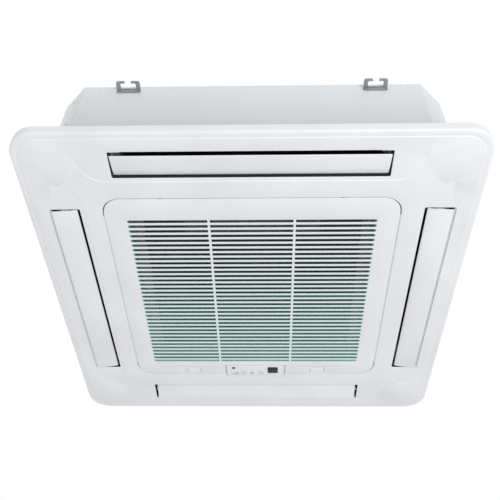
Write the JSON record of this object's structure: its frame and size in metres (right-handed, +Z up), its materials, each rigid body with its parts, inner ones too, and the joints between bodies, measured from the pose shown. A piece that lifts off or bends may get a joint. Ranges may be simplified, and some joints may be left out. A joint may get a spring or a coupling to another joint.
{
  "type": "ceiling cassette air conditioner",
  "caption": "Four-way ceiling cassette indoor unit: square panel with a swinging air vane on each side, a hinged intake grille with filter, and a hanging body with fan, coil and drain pan.",
  "frame": {"origin": "middle of the ceiling opening, in the plane of the ceiling's underside, which is level with the back edge of the panel's lip", "axes": "+Z up into the ceiling void, the panel's face looks down along -Z; +Y from the door's hinged edge to its latched edge, where the display strip is; +X to the right for someone who stands under the hinged edge and looks towards the display strip"},
  "size_m": [0.95, 0.95, 0.2568],
  "materials": {
    "white_plastic": "satin moulding, fine orange peel",
    "vane_plastic": "satin",
    "filter_net": "woven plastic net",
    "smoked_plastic": "glossy",
    "grey_plastic": "matt",
    "black_plastic": "matt",
    "painted_sheet": "satin powder coat",
    "galvanised": "zinc spangle",
    "copper": "drawn copper tube",
    "brass": "machined",
    "fins": "close fins",
    "steel": "zinc plated",
    "foam": "expanded foam beads",
    "grey_foam": "closed-cell foam sheet",
    "fan_plastic": "matt",
    "circuit_board": "lacquered board"
  },
  "bodies": {
    "unit": {"panel_frame": "white_plastic", "display_housing": "white_plastic", "receiver_window": "smoked_plastic", "casing_top": "painted_sheet", "top_insulation": "foam", "side_insulation": "grey_foam", "evaporator_coil": "fins", "coil_end_plate_right": "galvanised", "coil_end_plate_far": "galvanised", "coil_baffle": "galvanised", "gas_header": "copper", "liquid_header": "copper", "gas_flare_nut": "brass", "liquid_flare_nut": "brass", "drain_pan": "foam", "bell_mouth": "black_plastic", "fan_motor": "galvanised", "motor_bracket": "galvanised", "drain_pump": "grey_plastic", "drain_socket": "grey_plastic", "drain_hose": "grey_plastic", "float_switch": "grey_plastic", "control_box": "galvanised", "control_box_cover": "galvanised", "circuit_board": "circuit_board", "vane_motor_near": "grey_plastic", "casing_side_near": "painted_sheet", "vane_motor_right": "grey_plastic", "casing_side_right": "painted_sheet", "vane_motor_far": "grey_plastic", "casing_side_far": "painted_sheet", "vane_motor_left": "grey_plastic", "casing_side_left": "painted_sheet", "hanging_bracket_near_left": "galvanised", "hanging_bracket_far_left": "galvanised", "hanging_bracket_near_right": "galvanised", "hanging_bracket_far_right": "galvanised", "panel_bracket_far_right": "galvanised", "panel_screw_far_right": "steel", "panel_bracket_far_left": "galvanised", "panel_screw_far_left": "steel", "panel_bracket_near_left": "galvanised", "panel_screw_near_left": "steel", "panel_bracket_near_right": "galvanised", "panel_screw_near_right": "steel"},
    "fan": {"fan_wheel": "fan_plastic", "motor_shaft": "steel", "fan_nut": "steel"},
    "door": {"intake_grille": "white_plastic", "hinge_pin_left": "steel", "hinge_pin_right": "steel"},
    "filter": {"air_filter": "filter_net"},
    "left_latch": {"latch_left": "white_plastic"},
    "right_latch": {"latch_right": "white_plastic"},
    "button": {"manual_button": "grey_plastic"},
    "float_ring": {"float": "white_plastic"},
    "near_vane": {"vane_near": "vane_plastic"},
    "right_vane": {"vane_right": "vane_plastic"},
    "far_vane": {"vane_far": "vane_plastic"},
    "left_vane": {"vane_left": "vane_plastic"}
  },
  "joints": [
    {"name": "fan_spin", "type": "hinge", "parent": "unit", "child": "fan", "pos_m": [0, 0, 0.15], "axis": [0, 0, 1], "continuous": true},
    {"name": "near_vane_swing", "type": "hinge", "parent": "unit", "child": "near_vane", "pos_m": [0, -0.39625, -0.0105], "axis": [1, 0, 0], "range_deg": [-10, 32]},
    {"name": "right_vane_swing", "type": "hinge", "parent": "unit", "child": "right_vane", "pos_m": [0.39625, 0, -0.0105], "axis": [0, 1, 0], "range_deg": [-10, 32]},
    {"name": "far_vane_swing", "type": "hinge", "parent": "unit", "child": "far_vane", "pos_m": [0, 0.39625, -0.0105], "axis": [-1, 0, 0], "range_deg": [-10, 32]},
    {"name": "left_vane_swing", "type": "hinge", "parent": "unit", "child": "left_vane", "pos_m": [-0.39625, 0, -0.0105], "axis": [0, -1, 0], "range_deg": [-10, 32]},
    {"name": "door_swing", "type": "hinge", "parent": "unit", "child": "door", "pos_m": [0, -0.3193, -0.018], "axis": [-1, 0, 0], "range_deg": [0, 90]},
    {"name": "filter_lift", "type": "slide", "parent": "door", "child": "filter", "axis": [0, 0, 1], "range_m": [0, 0.01]},
    {"name": "left_latch_slide", "type": "slide", "parent": "door", "child": "left_latch", "axis": [0, -1, 0], "range_m": [0, 0.008]},
    {"name": "right_latch_slide", "type": "slide", "parent": "door", "child": "right_latch", "axis": [0, -1, 0], "range_m": [0, 0.008]},
    {"name": "manual_button_press", "type": "slide", "parent": "unit", "child": "button", "axis": [0, 0, 1], "range_m": [0, 0.001], "stiffness_N_per_m": 400},
    {"name": "float_rise", "type": "slide", "parent": "unit", "child": "float_ring", "axis": [0, 0, 1], "range_m": [0, 0.012]}
  ]
}
